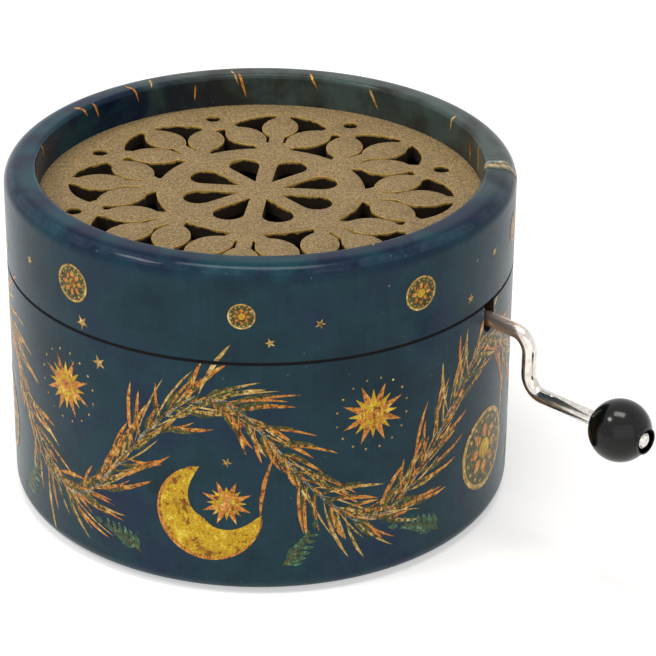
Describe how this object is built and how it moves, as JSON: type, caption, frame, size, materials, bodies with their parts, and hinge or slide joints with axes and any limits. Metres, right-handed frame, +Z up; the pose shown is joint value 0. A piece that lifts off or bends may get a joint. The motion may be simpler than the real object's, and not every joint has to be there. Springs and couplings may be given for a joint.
{
  "type": "hand cranked music box",
  "caption": "Round card music box with a lift-off lid, fretwork sound grille and a wire crank that turns a pinned cylinder against a comb.",
  "frame": {"origin": "centre of the drum on the surface it stands on", "axes": "+Z up along the drum's axis, +X along the crank shaft, out of the drum"},
  "size_m": [0.0959, 0.07, 0.048],
  "materials": {
    "drum_card": "spiral-wound card, plain",
    "printed_wrap": "printed art paper with a film, glued on",
    "floor_card": "dark paper-faced card",
    "sleeve_card": "black card",
    "board": "dark-stained fibreboard",
    "gilt_board": "laser-cut fibreboard with matt gold paint",
    "zinc_casting": "zinc die casting, tumbled",
    "screw_steel": "nickel-plated steel",
    "comb_steel": "hardened spring steel, ground",
    "tuning_lead": "dull lead",
    "cylinder_brass": "turned brass",
    "shaft_steel": "ground steel",
    "wheel_nylon": "moulded nylon",
    "worm_brass": "cut brass",
    "crank_chrome": "bright-plated steel wire",
    "knob_black": "black polished moulding"
  },
  "bodies": {
    "base": {"base_tube": "drum_card", "base_wrap": "printed_wrap", "base_floor": "floor_card", "shoulder_sleeve": "sleeve_card", "support_ring": "sleeve_card", "movement_board": "board", "bedplate": "zinc_casting", "bedplate_screws": "screw_steel", "crank_bracket": "zinc_casting", "bracket_screws": "screw_steel", "comb": "comb_steel", "comb_leads": "tuning_lead", "comb_screws": "screw_steel"},
    "lid": {"lid_tube": "drum_card", "lid_wrap": "printed_wrap", "sound_grille": "gilt_board", "grille_retainer": "sleeve_card"},
    "crank": {"crank_wire": "crank_chrome", "worm": "worm_brass", "shaft_clip": "screw_steel", "knob_rivet": "crank_chrome", "knob_stop": "crank_chrome"},
    "knob": {"knob": "knob_black"},
    "cylinder": {"pinned_cylinder": "cylinder_brass", "cylinder_caps": "cylinder_brass", "cylinder_arbor": "shaft_steel", "worm_wheel": "wheel_nylon"}
  },
  "joints": [
    {"name": "crank_turn", "type": "hinge", "parent": "base", "child": "crank", "pos_m": [0.0338, 0.0096, 0.032], "axis": [1, 0, 0], "continuous": true},
    {"name": "cylinder_turn", "type": "hinge", "parent": "base", "child": "cylinder", "pos_m": [0.008, -0.0035, 0.0235], "axis": [0, 1, 0], "continuous": true},
    {"name": "knob_spin", "type": "hinge", "parent": "crank", "child": "knob", "pos_m": [0.0566, 0.0096, 0.024], "axis": [1, 0, 0], "continuous": true},
    {"name": "lid_lift", "type": "slide", "parent": "base", "child": "lid", "axis": [0, 0, 1], "range_m": [0, 0.025]}
  ],
  "couplings": [
    {"joint": "cylinder_turn", "follows": "crank_turn", "ratio": -0.05}
  ]
}
